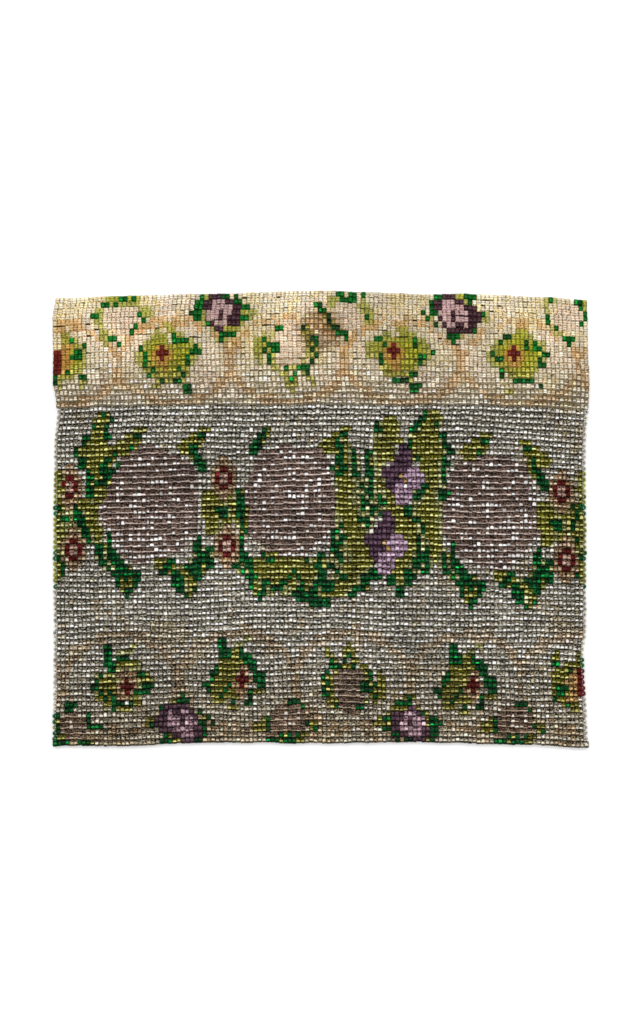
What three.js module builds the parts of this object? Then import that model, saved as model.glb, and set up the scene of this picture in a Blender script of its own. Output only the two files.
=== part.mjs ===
// A bead-woven envelope clutch lying flat with its flap open, back upwards.
// Millimetres. X runs along the bead rows, Y from the bottom fold towards the flap, Z up from the surface.
// The origin is under the middle of the clutch, on the surface that it lies on.
import * as THREE from "three";

// The weave: seed beads with their holes along the rows.
const COLUMN_PITCH = 1.7;
const ROW_PITCH = 2.2325;
const COLUMNS = 125;
const PANEL_ROWS = 60;
const FLAP_ROWS = 20;
const WALL = 2.1;

// The whole clutch, worked out from the weave.
const HALF_WIDTH = (COLUMNS * COLUMN_PITCH) / 2;
const PANEL_LENGTH = PANEL_ROWS * ROW_PITCH;
const FLAP_LENGTH = FLAP_ROWS * ROW_PITCH;
const ROW_ARCH = 2;
const HALF_LENGTH = (PANEL_LENGTH + FLAP_LENGTH + ROW_ARCH) / 2;

// How the pieces meet.
const GAP = 0.3;
const EDGE_DEPTH = 2;
const EDGE_HEIGHT = 2 * WALL + GAP;
const EDGE_NOSE = 0.8;

// How the pouch stands open. The crown is the room inside, highest in the middle.
const CROWN = 10;
const CROWN_FLATNESS = 4;
const MOUTH_CLOSING = 0.32;
const FLAP_LIFT = 4.6;
const FLAP_DROOP = 3;

// The snap, under the flap and outside the front panel.
const SNAP_FROM_MOUTH = 29;
const SNAP_RADIUS = 7.9;
const STUD_BASE = 2.4;
const STUD_RADIUS = 3.2;
const STUD_HEIGHT = 3.1;
const SOCKET_HEIGHT = 1.4;
const SOCKET_HOLE_RADIUS = 3.6;
const SOCKET_HOLE_DEPTH = 0.9;
const SOCKET_PLATEAU = 12;
const SOCKET_SPREAD = 30;
const RIM_ROUND = 0.4;

// How finely the walls are divided.
const ACROSS = 28;
const PANEL_STEPS = 16;
const FLAP_STEPS = 8;
const EDGE_ARC_STEPS = 4;
const TURNED_SIDES = 24;

// How far each side stands in from the full width, by distance from the bottom fold.
const SIDE_INSETS = [
  { along: 0, left: 0, right: 0.2 },
  { along: 38, left: 0.4, right: 1.8 },
  { along: 47, left: 0.4, right: 0.8 },
  { along: 74, left: 0.2, right: 0.8 },
  { along: 120, left: 0.6, right: 1.1 },
  { along: 136, left: 2, right: 0 },
  { along: 146, left: 0.4, right: 0 },
  { along: 170, left: 0, right: 0.4 },
  { along: 179, left: 1.2, right: 0.8 },
];

// Soft dents in the back panel: where each is, how wide and how deep.
const DENTS = [
  { x: -62, along: 44, radius: 34, depth: 0.7 },
  { x: 8, along: 52, radius: 40, depth: 0.6 },
  { x: 70, along: 34, radius: 36, depth: 0.9 },
  { x: 38, along: 104, radius: 30, depth: 0.5 },
  { x: -40, along: 112, radius: 28, depth: 0.5 },
];

// Smooth step from 0 at a to 1 at b.
function ease(a, b, value) {
  return THREE.MathUtils.smoothstep(value, a, b);
}

// A side's inset at a distance from the bottom fold.
function sideInset(side, along) {
  const last = SIDE_INSETS.length - 1;
  const found = SIDE_INSETS.findIndex((row) => row.along >= along);
  const upper = found < 0 ? last : Math.max(found, 1);
  const [from, to] = [SIDE_INSETS[upper - 1], SIDE_INSETS[upper]];
  return THREE.MathUtils.lerp(from[side], to[side], ease(from.along, to.along, along));
}

function leftEdge(along) {
  return -HALF_WIDTH + sideInset("left", along);
}

function rightEdge(along) {
  return HALF_WIDTH - sideInset("right", along);
}

// The rows arch up a little in the middle of the clutch.
function rowY(x, along) {
  return along - HALF_LENGTH + ROW_ARCH * (1 - (x / HALF_WIDTH) ** 2);
}

function dent(x, along) {
  let depth = 0;
  for (const d of DENTS) {
    const away = Math.hypot(x - d.x, along - d.along) / d.radius;
    depth += d.depth * (1 - ease(0, 1, away));
  }
  return depth;
}

// The room between the two panels.
function room(x, along) {
  const across = 1 - Math.abs(x / HALF_WIDTH) ** CROWN_FLATNESS;
  const up = along / PANEL_LENGTH;
  const rise = 1 - (1 - up) ** CROWN_FLATNESS;
  const closing = 1 - MOUTH_CLOSING * up ** 3;
  return across * (CROWN * rise * closing - dent(x, along) * rise);
}

// Undersides of the three walls.
function frontUnder(x, along) {
  const away = Math.hypot(x, along - (PANEL_LENGTH - SNAP_FROM_MOUTH));
  return (SOCKET_HEIGHT + GAP) * (1 - ease(SOCKET_PLATEAU, SOCKET_SPREAD, away));
}

function backUnder(x, along) {
  return WALL + GAP + room(x, along);
}

function flapUnder(x, along) {
  const out = (along - PANEL_LENGTH) / FLAP_LENGTH;
  const freeEdge = FLAP_LIFT * (1 - Math.abs(x / HALF_WIDTH) ** FLAP_DROOP);
  return THREE.MathUtils.lerp(backUnder(x, PANEL_LENGTH), freeEdge, out);
}

// A closed solid lofted through sections, each with as many points along its bottom as along its top.
function loft(sections) {
  const points = sections[0].bottom.length;
  const ring = 2 * points;
  const positions = [];
  for (const { bottom, top } of sections) {
    for (const p of [...bottom, ...top.toReversed()]) positions.push(p.x, p.y, p.z);
  }
  const faces = [];
  for (let s = 0; s + 1 < sections.length; s++) {
    for (let i = 0; i < ring; i++) {
      const next = (i + 1) % ring;
      const [a, b, c, d] = [i, next, ring + next, ring + i].map((k) => s * ring + k);
      faces.push(a, c, b, a, d, c);
    }
  }
  const end = (sections.length - 1) * ring;
  for (let i = 0; i + 1 < points; i++) {
    const [a, b, c, d] = [i, i + 1, ring - 2 - i, ring - 1 - i];
    faces.push(a, b, c, a, c, d);
    faces.push(end + a, end + c, end + b, end + a, end + d, end + c);
  }
  const geometry = new THREE.BufferGeometry();
  geometry.setAttribute("position", new THREE.Float32BufferAttribute(positions, 3));
  geometry.setIndex(faces);
  geometry.computeVertexNormals();
  return geometry;
}

// A woven wall from one distance along the clutch to another, over an underside.
function wovenWall(from, to, steps, sideMargin, under) {
  const sections = [];
  for (let s = 0; s <= steps; s++) {
    const along = THREE.MathUtils.lerp(from, to, s / steps);
    const [low, high] = [leftEdge(along) + sideMargin, rightEdge(along) - sideMargin];
    const bottom = [];
    const top = [];
    for (let i = 0; i <= ACROSS; i++) {
      const x = THREE.MathUtils.lerp(low, high, i / ACROSS);
      const z = under(x, along);
      bottom.push(new THREE.Vector3(x, rowY(x, along), z));
      top.push(new THREE.Vector3(x, rowY(x, along), z + WALL));
    }
    sections.push({ bottom, top });
  }
  return loft(sections);
}

// Half of a rounded edge, from its flat inner side (reach 0) to its nose (reach EDGE_DEPTH).
function edgeProfile() {
  const half = EDGE_HEIGHT / 2;
  const rows = [];
  for (let i = 0; i <= EDGE_ARC_STEPS; i++) {
    const turn = ((Math.PI / 2) * i) / EDGE_ARC_STEPS;
    const lift = EDGE_NOSE + (half - EDGE_NOSE) * Math.cos(turn);
    rows.push({ reach: EDGE_DEPTH * Math.sin(turn), low: half - lift, high: half + lift });
  }
  return rows;
}

// The laced edging up one side, from the fold to the mouth. outwards is -1 on the left, 1 on the right.
function sideSeam(outwards) {
  const edge = outwards < 0 ? leftEdge : rightEdge;
  const sections = [];
  for (let s = 0; s <= PANEL_STEPS; s++) {
    const along = THREE.MathUtils.lerp(EDGE_DEPTH + GAP, PANEL_LENGTH, s / PANEL_STEPS);
    const place = (reach, z) => {
      const x = edge(along) - outwards * (EDGE_DEPTH - reach);
      return new THREE.Vector3(x, rowY(x, along), z);
    };
    const profile = edgeProfile();
    if (outwards < 0) profile.reverse();
    sections.push({
      bottom: profile.map((row) => place(row.reach, row.low)),
      top: profile.map((row) => place(row.reach, row.high)),
    });
  }
  return loft(sections);
}

// The rows that turn round the bottom of the pouch.
function bottomFold() {
  const sections = [];
  for (let i = 0; i <= ACROSS; i++) {
    const x = THREE.MathUtils.lerp(leftEdge(0), rightEdge(0), i / ACROSS);
    const place = (reach, z) => new THREE.Vector3(x, rowY(x, EDGE_DEPTH - reach), z);
    sections.push({
      bottom: edgeProfile().map((row) => place(row.reach, row.low)),
      top: edgeProfile().map((row) => place(row.reach, row.high)),
    });
  }
  return loft(sections);
}

// A turned piece from its outline, (radius, height) from the axis and back to it.
function turned(outline) {
  const points = outline.map(([radius, height]) => new THREE.Vector2(radius, height));
  const geometry = new THREE.LatheGeometry(points, TURNED_SIDES);
  geometry.rotateX(Math.PI / 2);
  return geometry;
}

// The snap half under the flap: a disc with a stud, its back at height 0.
function snapStud() {
  const foot = -STUD_BASE - STUD_HEIGHT;
  return turned([
    [0, foot],
    [STUD_RADIUS - RIM_ROUND, foot],
    [STUD_RADIUS, foot + RIM_ROUND],
    [STUD_RADIUS, -STUD_BASE],
    [SNAP_RADIUS - RIM_ROUND, -STUD_BASE],
    [SNAP_RADIUS, RIM_ROUND - STUD_BASE],
    [SNAP_RADIUS, 0],
    [0, 0],
  ]);
}

// The snap half outside the front panel: a disc with a hole for the stud, facing down.
function snapSocket() {
  return turned([
    [0, SOCKET_HOLE_DEPTH],
    [SOCKET_HOLE_RADIUS, SOCKET_HOLE_DEPTH],
    [SOCKET_HOLE_RADIUS, 0],
    [SNAP_RADIUS - RIM_ROUND, 0],
    [SNAP_RADIUS, RIM_ROUND],
    [SNAP_RADIUS, SOCKET_HEIGHT],
    [0, SOCKET_HEIGHT],
  ]);
}

const backBeads = new THREE.MeshStandardMaterial({ color: 0x7d7468, roughness: 0.35, metalness: 0 });
const flapBeads = new THREE.MeshStandardMaterial({ color: 0xd9cdb4, roughness: 0.35, metalness: 0 });
const seamBeads = new THREE.MeshStandardMaterial({ color: 0x8d8678, roughness: 0.4, metalness: 0 });
const snapMetal = new THREE.MeshStandardMaterial({ color: 0x6a5a44, roughness: 0.4, metalness: 0.9 });

function piece(name, geometry, material) {
  const mesh = new THREE.Mesh(geometry, material);
  mesh.name = name;
  return mesh;
}

const SEAM_ROOM = EDGE_DEPTH + GAP;
const clutch = new THREE.Group();

const pouch = new THREE.Group();
pouch.add(
  piece("front_panel", wovenWall(SEAM_ROOM, PANEL_LENGTH, PANEL_STEPS, SEAM_ROOM, frontUnder), backBeads),
  piece("back_panel", wovenWall(SEAM_ROOM, PANEL_LENGTH, PANEL_STEPS, SEAM_ROOM, backUnder), backBeads),
  piece("bottom_fold", bottomFold(), seamBeads),
  piece("left_seam", sideSeam(-1), seamBeads),
  piece("right_seam", sideSeam(1), seamBeads),
);
clutch.add(pouch);

const flapEnd = PANEL_LENGTH + FLAP_LENGTH;
clutch.add(piece("flap", wovenWall(PANEL_LENGTH + GAP, flapEnd, FLAP_STEPS, 0, flapUnder), flapBeads));

// The stud hangs square to the flap, and the socket lies flat under the front panel.
const studAlong = PANEL_LENGTH + SNAP_FROM_MOUTH;
const flapSlope = (flapUnder(0, flapEnd) - flapUnder(0, PANEL_LENGTH)) / FLAP_LENGTH;
const stud = piece("snap_stud", snapStud(), snapMetal);
stud.position.set(0, rowY(0, studAlong), flapUnder(0, studAlong) - GAP);
stud.rotation.x = Math.atan(flapSlope);
clutch.add(stud);

const socket = piece("snap_socket", snapSocket(), snapMetal);
socket.position.set(0, rowY(0, PANEL_LENGTH - SNAP_FROM_MOUTH), 0);
clutch.add(socket);

export default clutch;
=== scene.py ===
"""A bead-woven envelope clutch lying flat with its flap open, back upwards.

Metres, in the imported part's frame: X along the bead rows, Y from the bottom fold to the flap, Z up.
"""

import math
from functools import partial

import bpy
import numpy as np
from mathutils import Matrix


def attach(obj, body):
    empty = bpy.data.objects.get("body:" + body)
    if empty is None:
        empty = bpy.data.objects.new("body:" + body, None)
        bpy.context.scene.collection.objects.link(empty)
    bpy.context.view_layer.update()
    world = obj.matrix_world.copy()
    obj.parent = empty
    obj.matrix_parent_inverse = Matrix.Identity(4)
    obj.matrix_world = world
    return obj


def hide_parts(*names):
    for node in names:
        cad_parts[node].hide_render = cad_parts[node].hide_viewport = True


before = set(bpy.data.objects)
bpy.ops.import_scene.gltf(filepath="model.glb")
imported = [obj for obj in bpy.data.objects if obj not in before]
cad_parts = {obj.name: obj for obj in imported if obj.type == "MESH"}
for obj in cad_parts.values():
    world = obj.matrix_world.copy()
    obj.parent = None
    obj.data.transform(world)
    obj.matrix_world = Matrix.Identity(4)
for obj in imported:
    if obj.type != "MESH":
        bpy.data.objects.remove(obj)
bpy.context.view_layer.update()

# The weave: seed beads with their holes along the rows.
COLUMN_PITCH = 0.0017
ROW_PITCH = 0.0022325
COLUMNS = 125
PANEL_ROWS = 60
FLAP_ROWS = 20
ROWS = PANEL_ROWS + FLAP_ROWS
WALL = 0.0021

# The whole clutch, worked out from the weave.
HALF_WIDTH = COLUMNS * COLUMN_PITCH / 2
PANEL_LENGTH = PANEL_ROWS * ROW_PITCH
FLAP_LENGTH = FLAP_ROWS * ROW_PITCH
ROW_ARCH = 0.002
HALF_LENGTH = (PANEL_LENGTH + FLAP_LENGTH + ROW_ARCH) / 2
GAP = 0.0003
EDGE_DEPTH = 0.002
EDGE_HEIGHT = 2 * WALL + GAP

# How the pouch stands open and how the flap lies.
CROWN = 0.010
CROWN_FLATNESS = 4
MOUTH_CLOSING = 0.32
MOUTH_BEND = 3
FLAP_LIFT = 0.0046
FLAP_DROOP = 3
FLAP_DRAW = 0.0006
SIDE_DRAW = 0.0006
SNAP_FROM_MOUTH = 0.029
SNAP_RADIUS = 0.0079
SOCKET_HEIGHT = 0.0014
SOCKET_PLATEAU = 0.012
SOCKET_SPREAD = 0.030
SLOPE_STEP = 0.0005

# How far each side stands in from the full width, by distance from the bottom fold.
INSET_ALONG = np.array((0, 38, 47, 74, 120, 136, 146, 170, 179)) * 0.001
INSET_LEFT = np.array((0, 0.4, 0.4, 0.2, 0.6, 2, 0.4, 0, 1.2)) * 0.001
INSET_RIGHT = np.array((0.2, 1.8, 0.8, 0.8, 1.1, 0, 0, 0.4, 0.8)) * 0.001

# Soft dents in the back panel.
DENTS = (
    # x, along, radius, depth
    (-0.062, 0.044, 0.034, 0.0007),
    (0.008, 0.052, 0.040, 0.0006),
    (0.070, 0.034, 0.036, 0.0009),
    (0.038, 0.104, 0.030, 0.0005),
    (-0.040, 0.112, 0.028, 0.0005),
)

# The beads and the threads that carry them. Fill is how much wider a bead is across the rows than its
# wall is thick, and for the edge beads the share of the edge's height that they take up.
BEAD_RADIUS = WALL / 2
BEAD_LENGTH = 1.02 * COLUMN_PITCH
POUCH_FILL = 0.30
FLAP_FILL = 0.34
EDGE_BEADS = 2
EDGE_BEAD_FILL = 0.86
THREAD_SHEET = 0.0004
SHEET_STEPS_UP = 40
SHEET_STEPS_ACROSS = 60

# Each bead's sides and profile: share of its half length, share of its radius. A cap's corners zigzag
# in the bead's map, so that the cap has some room there.
ROUND_SIDES = 8
ROUND_PROFILE = ((-1, 0.94), (-0.7, 1), (0.7, 1), (1, 0.94))
PLAIN_SIDES = 6
PLAIN_PROFILE = ((-1, 0.78), (0, 1), (1, 0.78))
RING_SIDES = 10
RING_PROFILE = ((-0.8, 0.42), (-1, 0.66), (-0.5, 0.98), (0.5, 0.98), (1, 0.66), (0.8, 0.42))
CAP_MARGIN = 0.02
CAP_ZIGZAG = 0.1

# How unevenly the beads lie, turn and vary in size and colour, as standard deviations.
PLACE_JITTER = (0.00004, 0.00008, 0.00003)
TURN_JITTER = (0.08, 0.03, 0.05)
SIZE_JITTER = (0.02, 0.03, 0.03)
GLEAM_SHAPE_JITTER = 0.30
UNEVEN = 0.20
LESS_UNEVEN_LIT = 0.10
MORE_UNEVEN_EMERALD = 0.26
GLEAM_UNEVEN = 1.5
EDGE_PLACE_JITTER = 0.00008
EDGE_TURN_JITTER = (0.1, 0.12, 0.12)
EDGE_SIZE_JITTER = 0.04
EDGE_UNEVEN = 0.18

# Soft waves in the weave, and patches of painted sheen and shade and of short painted shadows between rows,
# each with the columns and rows of its noise's cells.
ROW_WAVE = 0.0006
ROW_WAVE_CELLS = (16, 7)
ROW_RIPPLE = 0.4
ROW_RIPPLE_CELLS = (5, 3)
COLUMN_WAVE = 0.0003
COLUMN_WAVE_CELLS = (9, 3)
PAINTED_SHEEN_AND_SHADE = 0.18
PAINTED_SHEEN_AND_SHADE_CELLS = (14, 8)
SHADOW_DASH_FROM = 0.70
SHADOW_DASH_CELLS = (2, 1)
SPARE_CELLS = 3
SEED = 11

rng = np.random.default_rng(SEED)


def ease(low, high, value):
    """Smooth step from 0 at low to 1 at high."""
    t = np.clip((value - low) / (high - low), 0.0, 1.0)
    return t * t * (3.0 - 2.0 * t)


def side_inset(insets, along):
    upper = np.clip(np.searchsorted(INSET_ALONG, along), 1, len(INSET_ALONG) - 1)
    step = ease(INSET_ALONG[upper - 1], INSET_ALONG[upper], along)
    return insets[upper - 1] + (insets[upper] - insets[upper - 1]) * step


def left_edge(along):
    return -HALF_WIDTH + side_inset(INSET_LEFT, along)


def right_edge(along):
    return HALF_WIDTH - side_inset(INSET_RIGHT, along)


def row_y(x, along):
    """The rows arch up a little in the middle of the clutch, and the flap is drawn in, most at its sides."""
    out = np.maximum(along - PANEL_LENGTH, 0) / FLAP_LENGTH
    drawn_in = out * (FLAP_DRAW + SIDE_DRAW * ease(0, HALF_WIDTH / 2, np.abs(x)))
    return along - HALF_LENGTH + ROW_ARCH * (1 - (x / HALF_WIDTH) ** 2) - drawn_in


def room(x, along):
    """The room between the two panels."""
    across = 1 - np.abs(x / HALF_WIDTH) ** CROWN_FLATNESS
    up = along / PANEL_LENGTH
    rise = 1 - (1 - up) ** CROWN_FLATNESS
    closing = 1 - MOUTH_CLOSING * up**MOUTH_BEND
    dent = sum(d * (1 - ease(0, 1, np.hypot(x - dx, along - da) / r)) for dx, da, r, d in DENTS)
    return across * (CROWN * rise * closing - dent * rise)


def front_middle(x, along):
    """Height of the middle of the front panel's wall."""
    away = np.hypot(x, along - (PANEL_LENGTH - SNAP_FROM_MOUTH))
    dome = (SOCKET_HEIGHT + GAP) * (1 - ease(SOCKET_PLATEAU, SOCKET_SPREAD, away))
    return dome + WALL / 2


def back_middle(x, along):
    return 1.5 * WALL + GAP + room(x, along)


def flap_middle(x, along):
    out = (along - PANEL_LENGTH) / FLAP_LENGTH
    free_edge = FLAP_LIFT * (1 - np.abs(x / HALF_WIDTH) ** FLAP_DROOP) + WALL / 2
    return back_middle(x, PANEL_LENGTH) * (1 - out) + free_edge * out


# The pattern is woven bead by bead: c crystal, o olive, k pale olive, g emerald, r oxblood, p peach,
# h honey, q rosy, b bud, m mauve, s sparkle, v violet, l lilac, t tan, w flower's eye, n ring of the
# garland, a amber. A dot leaves the bead as it is, and so does the end of a short row.
def motif(across, down, lines):
    """Letters by row, with the column and row of the middle bead, counted from the upper left corner."""
    return lines.split(), across, down


BORDER_FLOWER = motif(7, 5, """
........oo
......o..oo
.....oooo.goo
...oooooo.ggggo
..goootrtoooooogo
.oogotrrrtooooggg
.oogottrttooogoo
..ogootttoooogo
...oogootoogoo
....gooooooogo
......ogooggo
.....oo.....gg
............gg
""")
MIDDLE_FLOWER = motif(7, 4, """
........ooo
.....oo..oooo
...ggooooooogoo
.oooogtrtooogooo
.ooootrrrtoooooog
.ooogttrttoooggo
....gotttoooogo
....ooottoooo
.....oooooogg
.......ggggo
...........ggg
...........gg
""")
RIGHT_FLOWER = motif(7, 4, """
........ooo
.....ggooooo
...ogooooogogoo
..ooootrtogoggo
.ogootrrrtoooogg
.ooggttrttooogo
..ooootttoooogg
....goooooooo
....g.oooooo
.......ggggg
.............g
.....oo
""")
FOLD_FLOWER = motif(8, 7, """
...gg....kk
...gg.kkkk
...gg.ggg
...gggoooook
....ggkkpkkk
.kgkokpppppggo
.gooookprppkooo
ggooooprrrpkggg
.kgogopprpgggg
.oogogpppkok
...ooggg.goo
...k.gkook
""")
WIDE_FOLD_FLOWER = motif(9, 7, """
....gg....kk
....gg..kk
....gggoog
....gggooggg
....ooooooggg
...goooooppgg
..ggooooprp.ggg
..gooooorrrpggg
ggoooogpprp..gg
.gooogoopppgook
..oogoooop.g
..kook.g..gg
......ook
""")
EDGE_FLOWER = motif(0, 4, """
..oo
..oogo
..tttoog
rrttoggo
rrttgggo
rrtttooo
rrttoooo
rrtgooo
goooo.gg
go....oo
.o....o
""")
BORDER_BUD = motif(8, 5, """
......bbbb
.....ggbbbbgo
..o.obbbbbbooo
oogo.bbbbbb.ogg
ooogggbbbbbboog
oogoggbbbbbbogo
oo.gobbbbbbboog
.o.gobbbbbbo.g
....oo.googgg
......oo.g.og
.......ogo..oo
.......ooo...o
........o
""")
EDGE_BUD = motif(7, 3, """
...oooggogo
..ggogooooo
.oo.bbbbbbbooo
ggobbbbbbbbgooo
.oo.bbbbbbb.g
..o..bbbbbg
..oo..bbbg
..oogg
...o..g
""")
RIGHT_EDGE_BUD = motif(6, 3, """
.ogo....ggo
.o..bbbbbgo
.o.bbbbbbbg
.g.bbbbbbbg
.g.bbbbbbg
..ogbbbbb
...oo
.....ggg
......g
""")
FOLD_BUD = motif(8, 3, """
........ggg
.....bbbbbbg
....bbbsbbsb
..ogbbbsbbsb
ooogbbbsssbbgoo
ooogbbbbbbbb.og
...bbbgogbgoo
...gggogggoo
""")
CORNER_BUD = motif(0, 7, """
...ggg
...gg
gg.bbbs.g
gobbsbbbg
ogbbsbsbgggg
ggbbbbbb
goobbbbb
gggg..gggo
""")
MIDDLE_EDGE_BUD = motif(8, 3, """
.....gg.gg.g
...ooogggg.o
gg.oobbbbbooo
.gg.bbbbbbbooo
..ogbbbbbbb.go
...gobbbbbb.oo
...ogg.bbbb
.....ggg
.......g
""")
EDGE_PANSY = motif(8, 3, """
...govvvgg.g
..ggvvlllvvgg
..ggvvlllllvvgg
.gggolllvllvvoooo
..ggolllvlvvvggo
....ogvlllvvvo
......ovvoooo
........gggg
.......ogo
""")
RIGHT_EDGE_PANSY = motif(8, 3, """
....ggvvvooggg
...gvvlllvvog
...gvvlllllvvv
.g.gglllvlllvvvgo
..go.vllvlllvvvoo
....g.vllvvlvv
.......vvvvvvg
.......gggo
........g
""")
RING_FLOWER = motif(3, 4, """
...pp
..pppp
.pprrpp
.prwwrp
.prwwrp
.pprrpp
..pppp
...pp
""")
WREATH_PANSY = motif(4, 5, """
....vv
....vvv
...vvvv
..vvvvv
vvvvvvlll
vvvvtlllll
.vvvvtllll
.vvllllll
..vllll
...llll
...lll
""")
LEAF_UPRIGHT = motif(6, 7, """
......ogo
.....oooog
.....goog
.....ooog
...ggooogg
...gooooo
.goooooooo
.goooooooog
..ggooooggo
..ggoooggo.g
....googggg
....ggoogg
....gogggo
....ggooo
....ggooo
....gooo
""")
LEAF_CAP = motif(4, 2, """
.....ooo
...oogg
.oooooo
oooogo
.ooo
""")
LEAF_SPRAY = motif(6, 5, """
....g
.ok.g
.ggog
.ggkgg
.kgkggg
..ggkggg
...kgkgggo
.....ggggggg
......gogogg
......gooog
.......ogg
........g
""")
LEAF_SWAG = motif(7, 5, """
..........g
.........gg
.........ggkgg
.........kgggk
ooogg...kggggg
ooggokkggggogg
.ggoggoogggo
....gggoogg
....gggkoo
.....ggkog
.......go
""")
LEAF_MASS = motif(11, 7, """
...........gooo
..ooo.....ggoooo
gkoook...ggooogk
ggoooo..ggkoooo
kkoook..koooooogg
koooooo.gooooookg
ooooo...gooooooogg
ooooo...koooooookgg
koooo...kogooooog
ook........ooookgg
okk........ooookg
ok.........koookg
ook........koookg
ooook......kooogk
oooook......kookgg
kkooo.......kookg
""")
LEAF_BASE = motif(9, 3, """
...gooo.........gg
.oooggooooooogkogok
.ooooooooooooooggog
.ooooooooogooooogg
..ooooooogogoookgg
..kggooggookgokgggg
...gkgggkkoggoggkgg
....kk.kkkggggggkoo
...........gggggggg
..............ggggg
""")
LEAF_BETWEEN = motif(6, 3, """
.oook..oook
.oookkgooooo
.ookkkggkooo
.ooggkgggooo
.oookkkggooo
.oookk.kggooo
.oook..kggkoo
..oo....kgk
""")
LEAF_TUCK = motif(6, 3, """
.oook...kgo
.ooookookgg
.oooookoogg
.ooogggkoggo
.ooooggkoggo
..oookookogo
..oooko..kgo
..ook.....og
""")
LEAF_SPRIG = motif(5, 3, """
.gk
.ggok
.ogokg..ggk
.ggokgk.gok
.ggokgk.gok
goggkgk.ggk
.ggokgg.ggk
..ookggkogk
""")
LEAF_SIDE = motif(5, 10, """
..ooookkkk
..kooookgkgk
..koookkkggkkk
..oookkkgkgkgk
..koookkggkkgg
..oooookgkggkk
..kooookkkgkgk
..kkooogggk
..kgooookgk
.ggkoooook
.gkggoooo
.gggkoooo
.ggokooooo
.kggkkoooo
.kkgkkooooo
.gkkooooook
.kgkoooookgggg
.kkggookggggg
ggoooookgg
ggoookgggo
ooookgg
""")
LEAF_STEM = motif(6, 8, """
.......gggook
......kggookg
.....kggkookg
ook...kkoookk
ooooggkoooook
koooggkoooook
..ooooggoookk
..oooookgoook
..oooookgoook
....ooogkoook
....ooogkkooo
....koogkgooo
..ooookgggook
..ooooggggkok
.ooookggkgk
ooooggkkgg
ggooggg
ggkogg
..gg
..gg
""")
LEAF_TUFT = motif(1, 3, """
g
gg
ggg
gog
ggg
ggg
gg
g
""")
LEAF_EDGE = motif(0, 10, """
oo
ook
ok
koo
ok
oo
gg
go
oo
ook
ooo
koo
oo
ok
gok
gg
oo
ko
oo
ok
""")
LEAF_TWIG = motif(2, 2, """
...go
..ggo
.ggo
ggg
gg
""")

# The border, by row from just below the mouth to the flap's free edge. Rings stand side by side in it.
BORDER_ROWS = 22
BUD_COLUMN = 55
FLOWER_ROW = 11
EDGE_ROW = 18
RING_COLUMNS = (1.5, 27.5, 54.3, 81.0, 108.5, 135.5)
RING_LOW_ROW = 2.0
RING_HALF_COLUMNS = 13.3
FLAP_RING_HALF_ROWS = 7.3
FOLD_RING_HALF_ROWS = 8.4
RING_HALF_LINE = 0.055
RING_LINE_JITTER = (-0.03, 0.02)
FAINT_RING_FROM = 0.3
FAINT_RING_SHARE = 0.6
AMBER_SHARE = 0.7
AMBER_EDGE = 0.5
AMBER_CELLS = (6, 4)

# Honey and rosy beads among the crystal ones.
TINT_CELLS = (5, 4)
TINT_JITTER = 0.3
HONEY_FROM = 0.75
BORDER_HONEY = 0.25
HONEY_FLAP_ROW = PANEL_ROWS + 10
ROSY_BELOW = -0.35

FLAP_MOTIFS = (
    # motif, column and border row of its middle bead
    (BORDER_FLOWER, 25, FLOWER_ROW),
    (MIDDLE_FLOWER, 79, FLOWER_ROW),
    (RIGHT_FLOWER, 107, FLOWER_ROW),
    (EDGE_BUD, 16, EDGE_ROW),
    (EDGE_PANSY, 39, EDGE_ROW),
    (MIDDLE_EDGE_BUD, 69, EDGE_ROW),
    (RIGHT_EDGE_PANSY, 93, EDGE_ROW),
    (RIGHT_EDGE_BUD, 120, EDGE_ROW),
)
FOLD_MOTIFS = (
    # motif, column and row of its middle bead, 1 or -1 for turned half round
    (FOLD_FLOWER, 17, 10, 1),
    (WIDE_FOLD_FLOWER, 44, 11, 1),
    (WIDE_FOLD_FLOWER, 98, 10, 1),
    (CORNER_BUD, 0, 0, 1),
    (FOLD_BUD, 55, 4, 1),
    (FOLD_BUD, 108, 4, 1),
    (RIGHT_EDGE_PANSY, 30, 3, -1),
    (EDGE_PANSY, 83, 3, -1),
)

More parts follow.
